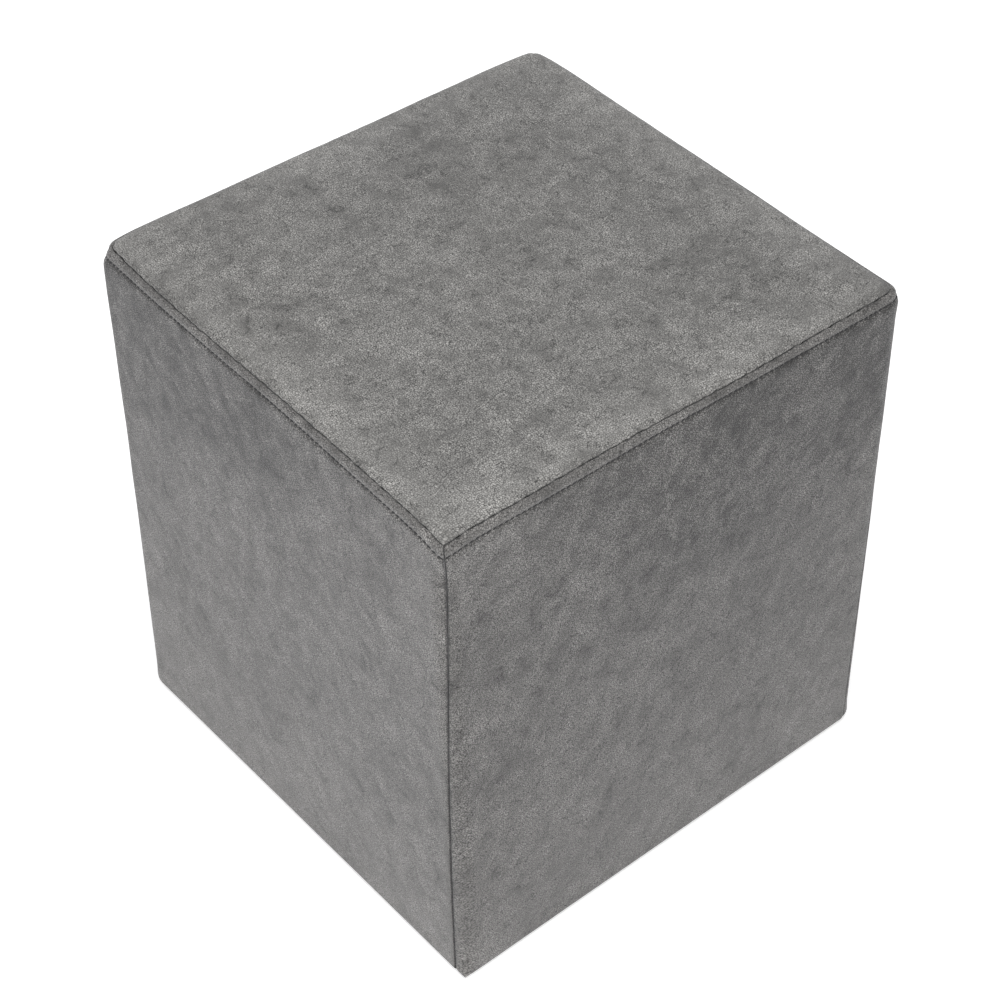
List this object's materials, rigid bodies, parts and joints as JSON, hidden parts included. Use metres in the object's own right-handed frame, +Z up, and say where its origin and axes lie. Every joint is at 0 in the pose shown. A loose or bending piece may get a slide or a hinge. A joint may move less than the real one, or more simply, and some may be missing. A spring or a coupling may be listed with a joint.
{
  "type": "cube pouf stool",
  "caption": "Square upholstered cube pouf stool in mottled grey suede cloth, with a sewn and topstitched top panel, plain corner seams and a flat base.",
  "frame": {"origin": "on the surface that the pouf stands on, under the middle of its box", "axes": "+Z up; the side panels face -Y, +X, +Y and -X at the top, and the picture looks from between -X and -Y"},
  "size_m": [0.379, 0.3786, 0.4029],
  "materials": {
    "suede_top": "matt backed suede cloth with a fine pebbled grain and cloudy grey mottling",
    "suede_side": "matt backed suede cloth with a fine pebbled grain and cloudy grey mottling",
    "base_cloth": "matt plain dark base cloth",
    "thread": "matt twisted sewing thread"
  },
  "bodies": {
    "root": {"seat": "suede_top", "side_front": "suede_side", "side_right": "suede_side", "side_back": "suede_side", "side_left": "suede_side", "base_panel": "base_cloth"}
  },
  "joints": []
}
